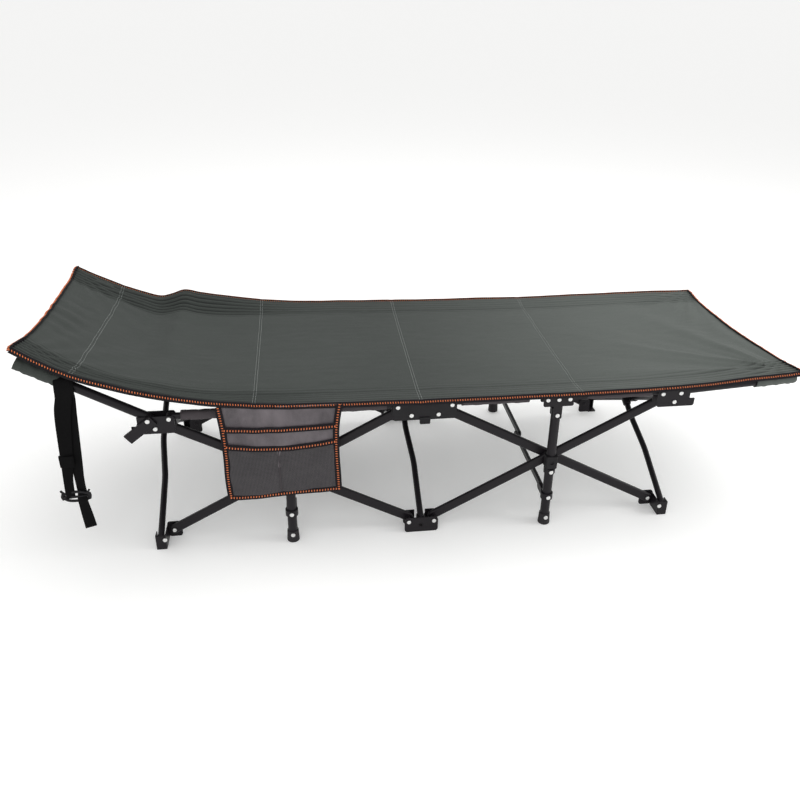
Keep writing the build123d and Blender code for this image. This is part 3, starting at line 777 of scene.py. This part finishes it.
# a cloth tube around a rail, loosely rippled; closed makes a pocket with an end
def sleeveTube(name, start, end, radius, topZ, material, closed):
    sides, steps = 20, 26
    start, end = Vector(start), Vector(end)
    along = (end - start).normalized()
    up = Vector((0, 0, 1))
    up = (up - along * up.dot(along)).normalized()
    across = along.cross(up)
    points = []
    for i in range(steps):
        t = i / (steps - 1)
        at = start.lerp(end, t)
        for k in range(sides):
            a = 2 * math.pi * k / sides
            ripple = 1 + 0.05 * math.sin(a * 3 + i * 0.8) + 0.035 * math.sin(i * 1.7 + k)
            lift = topZ if math.sin(a) > 0.55 else 0
            reach = radius * ripple
            points.append(at + across * (reach * math.cos(a)) + up * (reach * math.sin(a) + lift))
    faces = [(i * sides + k, (i + 1) * sides + k,
              (i + 1) * sides + (k + 1) % sides, i * sides + (k + 1) % sides)
             for i in range(steps - 1) for k in range(sides)]
    if closed:
        faces.append(tuple(range((steps - 1) * sides, steps * sides)))
    piece = added(name, meshOf(name, points, faces), material)
    bpy.context.view_layer.objects.active = piece
    bpy.ops.object.select_all(action="DESELECT")
    piece.select_set(True)
    bpy.ops.object.mode_set(mode="EDIT")
    bpy.ops.mesh.select_all(action="SELECT")
    bpy.ops.mesh.normals_make_consistent(inside=False)
    bpy.ops.object.mode_set(mode="OBJECT")
    solid = piece.modifiers.new("thickness", "SOLIDIFY")
    solid.thickness, solid.offset = 0.0009, 1
    return piece


def makeSleeves(mats):
    settings = {"sideRadius": 0.0102, "endRadius": 0.0140, "pocketLong": 0.105, "railLong": 0.306,
                "hubClear": 0.034, "legClear": 0.052,
                "tilt": {"front_head": 30, "back_head": 26, "front_toe": 4, "back_toe": 0}}
    hubClear, legClear = settings["hubClear"], settings["legClear"]
    for side in ("front", "back"):
        y = -railY if side == "front" else railY
        for cell in ("head", "toe"):
            for kind in ("inner_rail", "outer_rail"):
                node = side + "_" + cell + "_" + kind
                low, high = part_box(node)
                pivot = joints[node + "_turn"]["pos_m"][0]
                x0, x1 = low.x, high.x
                hubFirst = abs(pivot - low.x) < 0.02
                x0, x1 = (x0 + hubClear, x1 - legClear) if hubFirst else (x0 + legClear, x1 - hubClear)
                sleeve = sleeveTube("sleeve_" + node, (x0, y, railZ), (x1, y, railZ), settings["sideRadius"],
                                    0.002, mats["sleeve"], False)
                finishSleeve(sleeve, node, settings["sideRadius"], x1 - x0)
            node = side + "_" + cell + "_end_rail"
            sign = -1 if cell == "head" else 1
            angle = math.radians(settings["tilt"][side + "_" + cell])
            way = Vector((sign * math.cos(angle), 0, math.sin(angle)))
            pivot = Vector((joints[node + "_turn"]["pos_m"][0], y, railZ))
            tip = pivot + way * settings["railLong"]
            pocket = sleeveTube("pocket_" + node, tip - way * settings["pocketLong"], tip,
                                settings["endRadius"], 0.001, mats["bed"], True)
            finishSleeve(pocket, node, settings["endRadius"], settings["pocketLong"])
    print("sleeves and pockets made")


def finishSleeve(piece, body, radius, long):
    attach(piece, body)
    area = sum(p.area for p in piece.data.polygons)
    area / long


def makeOrganiser(mats, barStitch):
    low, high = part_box("organiser")
    settings = {"top": 0.402, "bottom": 0.163, "firstPocket": 0.2400, "secondPocket": 0.412,
                "firstDip": 0.012, "secondDip": 0.052, "seamShare": 0.47, "tapeHalf": 0.0076,
                "leftEdge": ((0, -0.506), (0.25, -0.500), (0.5, -0.4975), (0.85, -0.498), (1, -0.4955)),
                "rightEdge": ((0, -0.2255), (0.2, -0.2335), (0.5, -0.2365), (0.85, -0.234), (1, -0.233)),
                "bottomCurve": ((0, -0.002), (0.12, -0.0035), (0.4, 0.0), (0.7, 0.0015), (1, 0.0035))}

    # u across the organiser, w down it, lift out from the backing
    def sheetPoint(u, w, lift):
        left = float(smoothLine(settings["leftEdge"], w))
        right = float(smoothLine(settings["rightEdge"], w))
        bottom = settings["bottom"] + float(smoothLine(settings["bottomCurve"], u))
        top = settings["top"] + 0.006 * (1 - u) ** 2
        wavy = 0.0030 * noise.noise(Vector((u * 2.6, w * 2.9, 2.0)))
        wavy += 0.0014 * noise.noise(Vector((u * 9, w * 8, 5.0)))
        wavy += 0.0022 * w * math.sin(5.2 * u + 0.4)
        return (left + (right - left) * u, high.y + 0.002 - 0.005 * w - lift - wavy, top + (bottom - top) * w)

    def layer(name, w0, lift, belly, material, dip, columns=72, rows=56):
        points = []
        for i in range(rows):
            for j in range(columns):
                u, t = j / (columns - 1), i / (rows - 1)
                start = w0 + dip * math.sin(math.pi * u)
                seam = 1
                if name == "organiserNet":
                    seam -= 0.75 * math.exp(-((u - settings["seamShare"]) / 0.035) ** 2)
                shape = (math.sin(math.pi * u) + 1e-9) ** 0.6 * math.sin(math.pi * (0.12 + 0.88 * t)) ** 0.6
                crumple = 0.5 + 0.9 * noise.noise(Vector((u * 5.5, t * 4.5, 7.3)))
                out = lift + belly * shape * seam * (0.5 + crumple)
                points.append(sheetPoint(u, start + (0.995 - start) * t, out))
        piece = added(name, meshOf(name, points, gridFaces(rows, columns)), material)
        solid = piece.modifiers.new("thickness", "SOLIDIFY")
        solid.thickness, solid.offset = 0.0008, 0
        return piece

    w1, w2 = settings["firstPocket"], settings["secondPocket"]
    dips = {w1: settings["firstDip"], w2: settings["secondDip"]}
    back = layer("organiserBack", 0.0, 0.0, 0.0012, mats["coated"], 0.0)
    middle = layer("organiserPocket", w1, 0.0018, 0.0030, mats["coated"], dips[w1])
    net = layer("organiserNet", w2, 0.0036, 0.0046, mats["net"], dips[w2])
    runs, bindings = [], []

    def edge(points, side, halfWide):
        points = np.array(points)
        ups = same((0, -1.0, 0.1), points)
        bindings.append(tubeAlong("b", points, ups, halfWide, 0.0019, mats["binding"]))
        runs.append((points + ups * 0.0018, same(side, points)))

    steps = np.linspace(0, 1, 70)
    for u in (0.0, 1.0):
        edge([sheetPoint(u, w, 0.0036) for w in steps], (1, 0, 0), 0.0078)
    edge([sheetPoint(u, 1.0, 0.0036) for u in steps], (0, 0, 1), settings["tapeHalf"])
    for w, lift in ((w1, 0.0044), (w2, 0.0066)):
        lip = [sheetPoint(u, w + dips[w] * math.sin(math.pi * u), lift)
               for u in np.linspace(0.015, 0.985, 70)]
        edge(lip, (0, 0, 1), settings["tapeHalf"])
    tape = joined("organiserBinding", bindings)
    seam = [sheetPoint(settings["seamShare"], w, 0.0062) for w in np.linspace(w2 + 0.08, 0.97, 40)]
    stitch = {"Pitch": 0.0066, "Long": 0.0046, "Thick": 0.0025, "Lean": 0.1, "Thread": mats["orange"]}
    stitches = grown("organiserStitch", pathMesh("p", runs), barStitch, stitch)
    towards = same((0, -1, 0), seam)
    seamTape = tubeAlong("organiserSeam", seam, towards, 0.0011, 0.0005, mats["sleeve"])
    for piece, slot in ((back, "organiser_fabric"), (middle, "organiser_fabric"), (net, "organiser_fabric"),
                        (tape, "binding_tape"), (stitches, "stitch_thread"), (seamTape, "binding_tape")):
        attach(piece, "front_head_leg")
        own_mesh(piece)
    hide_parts("organiser")
    print("organiser made")


# a flat strap through knots of (x, y, z, width, turn in degrees); also gives its length
def webbing(name, knots, thick, material):
    knots = np.array(knots, float)
    steps = np.linspace(0, len(knots) - 1, 12 * (len(knots) - 1) + 1)
    path = np.stack([smoothLine(list(zip(range(len(knots)), knots[:, k])), steps) for k in range(5)], axis=1)
    centre, wide, turn = path[:, :3], path[:, 3], np.radians(path[:, 4])
    across = np.stack([np.cos(turn), np.sin(turn), np.zeros(len(turn))], axis=1)
    along = np.gradient(centre, axis=0)
    along /= np.linalg.norm(along, axis=1)[:, None]
    across = across - (across * along).sum(1)[:, None] * along
    across /= np.linalg.norm(across, axis=1)[:, None]
    outward = np.cross(along, across)
    points = []
    sides = 16
    for p, w, n, half in zip(centre, across, outward, wide / 2):
        for k in range(sides):
            out, rise = squarish(2 * math.pi * k / sides, 0.35, 0.5)
            points.append(p + w * half * out + n * thick / 2 * rise)
    strip = added(name, meshOf(name, points, tubeFaces(len(centre), sides)), material)
    return strip, float(np.linalg.norm(np.diff(centre, axis=0), axis=1).sum())


def outwardFaces(piece):
    work = bmesh.new()
    work.from_mesh(piece.data)
    bmesh.ops.recalc_face_normals(work, faces=work.faces)
    work.to_mesh(piece.data)
    work.free()


def makeStrap(mats):
    body = "front_head_end_rail"
    y = -railY
    settings = {"thick": 0.0019, "wide": 0.036, "loop": 0.0175, "leftTop": -0.8385, "rightTop": -0.832,
                "railTilt": 30, "keeperSize": (0.0325, 0.0085, 0.030), "keeperWall": 0.0022}
    slope = math.tan(math.radians(settings["railTilt"]))

    def axisZ(x):
        return railZ + (railPivotX[body] - x) * slope

    # two lengths hang from a loop around the rail
    pieces = []
    loop, full = settings["loop"], settings["wide"]
    for name, x, front, rest in (
            ("strapFront", settings["leftTop"], -0.0035,
             [(-0.8530, 0.40, 0.035, 2), (-0.8640, 0.282, 0.027, 14), (-0.8700, 0.225, 0.0225, 30),
              (-0.8720, 0.190, 0.0215, 24), (-0.8722, 0.176, 0.021, 10)]),
            ("strapBack", settings["rightTop"], 0.0035,
             [(-0.8390, 0.40, 0.034, -4), (-0.8450, 0.282, 0.030, -10), (-0.8465, 0.225, 0.025, -14),
              (-0.8460, 0.190, 0.0235, -8), (-0.8455, 0.174, 0.023, 0)])):
        z = axisZ(x)
        knots = [(x, y + loop * 0.9, z + 0.004, full, 0), (x, y + loop * 0.25, z + loop * 1.05, full, 0),
                 (x, y - loop * 0.8, z + loop * 0.75, full, 0),
                 (x - 0.001, y - loop * 1.02, z - 0.008, full, 0),
                 (x - 0.004, y - 0.011 + front, z - 0.035, full, 0)]
        knots += [(px, y - 0.008 + front, pz, wide, turn) for px, pz, wide, turn in rest]
        pieces.append(webbing(name, knots, settings["thick"], mats["webbing"]))
    tail = [(-0.8450, y - 0.003, 0.190, 0.023, 0), (-0.8455, y - 0.0135, 0.176, 0.023, 0),
            (-0.8452, y - 0.0125, 0.158, 0.0235, 4), (-0.8440, y - 0.008, 0.125, 0.0255, 12),
            (-0.8415, y - 0.006, 0.085, 0.027, 16)]
    pieces.append(webbing("strapTail", tail, settings["thick"], mats["webbing"]))
    keeper = ringBox("strapKeeper", (-0.8645, y - 0.0115, 0.281), settings["keeperSize"],
                     settings["keeperWall"], mats["webbing"])
    buckle = buckleParts((-0.8605, y - 0.0075, 0.1795), mats)
    for piece in (keeper, buckle):
        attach(piece, body)
    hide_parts("strap_buckle")
    for strip, long in pieces:
        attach(strip, body)
    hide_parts("carry_strap")
    print("strap made")


# an open ring of flat section that the strap passes through
def ringBox(name, centre, size, wall, material):
    sx, sy, sz = (s / 2 for s in size)
    outline = roundedRing(sx, sy, 0.003)
    inner = roundedRing(sx - wall, sy - wall * 0.8, 0.0012)
    points, n = [], len(outline)
    for z in (-sz, sz):
        for ring in (outline, inner):
            points += [(centre[0] + a, centre[1] + b, centre[2] + z) for a, b in ring]
    faces = []
    for k in range(n):
        m = (k + 1) % n
        faces += [(k, m, 2 * n + m, 2 * n + k), (n + m, n + k, 3 * n + k, 3 * n + m),
                  (m, k, n + k, n + m), (2 * n + k, 2 * n + m, 3 * n + m, 3 * n + k)]
    piece = added(name, meshOf(name, points, faces), material, smooth=False)
    outwardFaces(piece)
    bevel = piece.modifiers.new("edges", "BEVEL")
    bevel.width, bevel.segments, bevel.limit_method = 0.0005, 2, "ANGLE"
    return piece


def roundedRing(halfX, halfY, radius, steps=5):
    points = []
    for cx, cy, start in ((1, 1, 0), (-1, 1, 90), (-1, -1, 180), (1, -1, 270)):
        for k in range(steps + 1):
            a = math.radians(start + 90 * k / steps)
            points.append((cx * (halfX - radius) + radius * math.cos(a),
                           cy * (halfY - radius) + radius * math.sin(a)))
    return points


def buckleParts(centre, mats):
    settings = {"wide": 0.060, "tall": 0.024, "rod": 0.0031, "prong": 0.007}
    cx, cy, cz = centre
    w, t, r = settings["wide"] / 2, settings["tall"] / 2, settings["rod"]
    bars = []

    def bar(points, wide, thick):
        points = np.array(points, float)
        fine = np.linspace(0, len(points) - 1, 8 * (len(points) - 1) + 1)
        knots = range(len(points))
        line = np.stack([smoothLine(list(zip(knots, points[:, k])), fine) for k in range(3)], axis=1)
        bars.append(tubeAlong("b", line, same((0, -1, 0), line), wide, thick, mats["nylon"], 12))

    bar([(cx - w, cy, cz + t * 0.4), (cx - w * 0.4, cy - 0.001, cz + t), (cx + w * 0.4, cy - 0.001, cz + t),
         (cx + w, cy, cz + t * 0.5)], r, r * 0.9)
    bar([(cx - w, cy, cz - t * 0.4), (cx - w * 0.5, cy - 0.001, cz - t), (cx + w * 0.5, cy - 0.001, cz - t),
         (cx + w, cy, cz - t * 0.6)], r, r * 0.9)
    bar([(cx - w * 0.95, cy - 0.002, cz), (cx, cy - 0.003, cz), (cx + w * 0.95, cy - 0.002, cz)],
        r * 0.9, r * 0.8)
    prong = settings["prong"]
    for side in (-1, 1):
        bar([(cx + side * w, cy, cz + t * 0.7), (cx + side * (w + 0.002), cy - 0.001, cz),
             (cx + side * w, cy, cz - t * 0.7)], r * 1.1, r)
        bar([(cx + side * w * 0.9, cy - 0.002, cz + t * 0.9),
             (cx + side * (w + 0.001), cy - 0.003, cz + t + prong * 0.5),
             (cx + side * (w + 0.003), cy - 0.003, cz + t + prong)], r * 0.8, r * 0.7)
    return joined("strapBuckle", bars)


# the rivets: half section of a head as (radius, height), and how far out each row of heads sits
rivet = {"profile": [(0.0, 0.00215), (0.0014, 0.00215), (0.0019, 0.0028), (0.0032, 0.0031), (0.0045, 0.0028),
                     (0.0053, 0.0020), (0.0057, 0.0009), (0.0057, 0.0)], "sides": 18,
         "hubOut": 0.3206, "hubIn": 0.2736, "midHubIn": 0.2599, "midFootOut": 0.3111, "midFootIn": 0.2729,
         "footBar": 0.27655, "footPlate": 0.31105, "endRail": 0.32655, "barCrossing": 0.2634,
         "bracketOut": 0.0138, "collarOut": 0.0152, "stopOut": 0.0162, "capOut": 0.0146,
         "legFromMiddle": 0.333, "bracketHalf": 0.028, "midHalf": 0.033, "lowPinZ": 0.032, "highPinZ": 0.358}


def rivetHead():
    profile, sides = rivet["profile"], rivet["sides"]
    turns = [2 * math.pi * k / sides for k in range(sides)]
    points, faces = [(0, 0, profile[0][1])], []
    for r, z in profile[1:]:
        points += [(r * math.cos(a), r * math.sin(a), z) for a in turns]
    for k in range(sides):
        faces.append((0, 1 + k, 1 + (k + 1) % sides))
        for i in range(len(profile) - 2):
            a, b = 1 + i * sides, 1 + (i + 1) * sides
            faces.append((a + k, b + k, b + (k + 1) % sides, a + (k + 1) % sides))
    last = 1 + (len(profile) - 2) * sides
    faces.append(tuple(last + k for k in reversed(range(sides))))
    return added("rivetHeadShape", meshOf("rivetHeadShape", points, faces))


# every head's place and outward axis, listed by the body that carries it
def rivetPlaces():
    places = {}

    def put(body, x, y, z, side):
        places.setdefault(body, []).append(((x, y, z), (0, side, 0)))

    for j in frame["joints"]:
        if j["type"] == "hinge" and j["child"].endswith("_rail"):
            x, y, z = j["pos_m"]
            side = -1 if y < 0 else 1
            put(j["parent"], x, side * rivet["hubOut"], z, side)
    for side, s in (("front", -1), ("back", 1)):
        for cell, w in (("toe", 1), ("head", -1)):
            hub = joints[f"{side}_{cell}_hub_turn"]["pos_m"]
            put(f"{side}_{cell}_hub", hub[0], s * rivet["hubOut"], hub[2], s)
            put(f"{side}_{cell}_hub", hub[0], s * rivet["hubIn"], hub[2], -s)
            foot = joints[f"{side}_{cell}_foot_turn"]["pos_m"]
            put(f"{side}_{cell}_foot", foot[0], s * rivet["footBar"], foot[2], s)
            put(f"{side}_{cell}_foot", foot[0] + w * 0.0194, s * rivet["footPlate"], foot[2] - 0.003, s)
            if cell == "head":
                pivot = joints[f"{side}_head_end_rail_turn"]["pos_m"]
                put(f"{side}_head_hub", pivot[0], s * rivet["endRail"], pivot[2], s)
            leg, legX = f"{side}_{cell}_leg", midX + w * rivet["legFromMiddle"]
            for dx in (-rivet["bracketHalf"], 0, rivet["bracketHalf"]):
                put(leg, legX + dx, s * (railY + rivet["bracketOut"]), railZ - 0.002, s)
            for out, z in (("bracketOut", 0.335), ("collarOut", 0.167),
                           ("stopOut", 0.088), ("capOut", 0.023)):
                put(leg, legX, s * (railY + rivet[out]), z, s)
            cross = joints[f"{side}_{cell}_slider_turn"]["pos_m"]
            put(f"{side}_{cell}_bar_b", cross[0], s * rivet["barCrossing"], cross[2], -s)
        for x in (midX - rivet["midHalf"], midX + rivet["midHalf"]):
            put(f"{side}_mid_foot", x, s * rivet["midFootOut"], rivet["lowPinZ"], s)
            put(f"{side}_mid_foot", x, s * rivet["midFootIn"], rivet["lowPinZ"], -s)
            put(f"{side}_mid_hub", x, s * rivet["hubOut"], rivet["highPinZ"], s)
            put(f"{side}_mid_hub", x, s * rivet["midHubIn"], rivet["highPinZ"], -s)
    return places


def makeRivets(mats):
    tree = rivetTree()
    head = rivetHead()
    for body, spots in rivetPlaces().items():
        mesh = meshOf("spots", [p for p, w in spots])
        attribute = mesh.attributes.new("axis", "FLOAT_VECTOR", "POINT")
        attribute.data.foreach_set("vector", np.array([w for p, w in spots], np.float32).ravel())
        piece = grown("rivets_" + body, mesh, tree, {"Size": 1.0, "Head": head, "Steel": mats["zinc"]})
        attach(piece, body)
    bpy.data.objects.remove(head)
    print("rivets made")


# the frame's own pieces: rubber feet, moulded joints, coated steel
def paintFrame(mats):
    for name, node in frame["nodes"].items():
        if name.endswith("leg_cap"):
            chosen = mats["rubber"]
        elif name.endswith("slider") or "mid_hub" in name:
            chosen = mats["nylon"]
        else:
            chosen = mats["powder"]
        node.data.materials.clear()
        node.data.materials.append(chosen)


mats = makeMaterials()
camera()
studio()
paintFrame(mats)
barStitch, running = barStitchTree(), runningTree()
makeCover(mats, barStitch, running)
makeSleeves(mats)
makeOrganiser(mats, barStitch)
makeStrap(mats)
makeRivets(mats)
